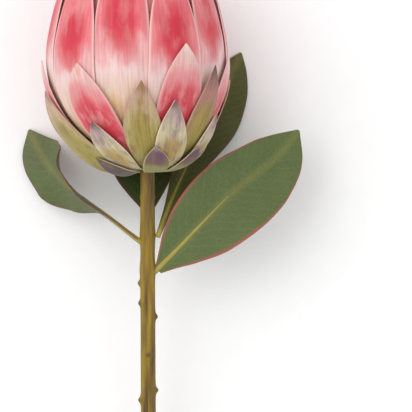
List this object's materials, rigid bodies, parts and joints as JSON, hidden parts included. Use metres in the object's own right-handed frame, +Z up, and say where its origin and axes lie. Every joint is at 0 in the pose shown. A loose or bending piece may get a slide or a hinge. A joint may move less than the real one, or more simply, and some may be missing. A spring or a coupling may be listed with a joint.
{
  "type": "protea flower",
  "caption": "Cut protea lying on a table: a closed cup of long overlapping pink bracts over shorter green ones, on a woody stem with leathery leaves.",
  "frame": {"origin": "on the table, under the middle of the flower's bounding box", "axes": "+Y runs along the stem to the tip of the flower head, +X to its right, +Z up from the table"},
  "size_m": [0.1442, 0.3424, 0.096],
  "materials": {
    "stem_bark": "matte olive-brown bark with leaf scars",
    "leaf_green": "matte leathery leaf with a red rim and a yellow midrib",
    "bract_purple": "matte plum bract with a pale rim",
    "bract_green": "matte olive and cream bract with ochre patches",
    "bract_pink": "matte coral-pink bract, paler at its rims and base",
    "bract_pale": "matte pale pink bract",
    "receptacle_pith": "matte pale green plant tissue",
    "floret_wool": "woolly pale pink hairs"
  },
  "bodies": {
    "root": {"stem": "stem_bark", "leaf_lower_right": "leaf_green", "leaf_upper_right": "leaf_green", "leaf_left": "leaf_green", "leaf_behind_head": "leaf_green", "basal_bract_01": "bract_purple", "basal_bract_02": "bract_purple", "basal_bract_03": "bract_purple", "basal_bract_04": "bract_purple", "basal_bract_05": "bract_purple", "basal_bract_06": "bract_purple", "lower_bract_01": "bract_green", "lower_bract_02": "bract_green", "lower_bract_03": "bract_green", "lower_bract_04": "bract_green", "lower_bract_05": "bract_green", "lower_bract_06": "bract_green", "lower_bract_07": "bract_green", "green_bract_01": "bract_green", "green_bract_02": "bract_green", "green_bract_03": "bract_green", "green_bract_04": "bract_green", "green_bract_05": "bract_green", "green_bract_06": "bract_green", "green_bract_07": "bract_green", "short_bract_01": "bract_pink", "short_bract_02": "bract_pink", "short_bract_03": "bract_pink", "short_bract_04": "bract_pink", "short_bract_05": "bract_pink", "short_bract_06": "bract_pink", "short_bract_07": "bract_pink", "main_bract_01": "bract_pink", "main_bract_02": "bract_pink", "main_bract_03": "bract_pink", "main_bract_04": "bract_pink", "main_bract_05": "bract_pink", "main_bract_06": "bract_pink", "main_bract_07": "bract_pink", "main_bract_08": "bract_pink", "main_bract_09": "bract_pink", "main_bract_10": "bract_pink", "inner_bract_01": "bract_pale", "inner_bract_02": "bract_pale", "inner_bract_03": "bract_pale", "inner_bract_04": "bract_pale", "inner_bract_05": "bract_pale", "inner_bract_06": "bract_pale", "inner_bract_07": "bract_pale", "inner_bract_08": "bract_pale", "inner_bract_09": "bract_pale", "inner_bract_10": "bract_pale", "heart_bract_01": "bract_pale", "heart_bract_02": "bract_pale", "heart_bract_03": "bract_pale", "heart_bract_04": "bract_pale", "heart_bract_05": "bract_pale", "receptacle": "receptacle_pith", "florets": "floret_wool"}
  },
  "joints": []
}
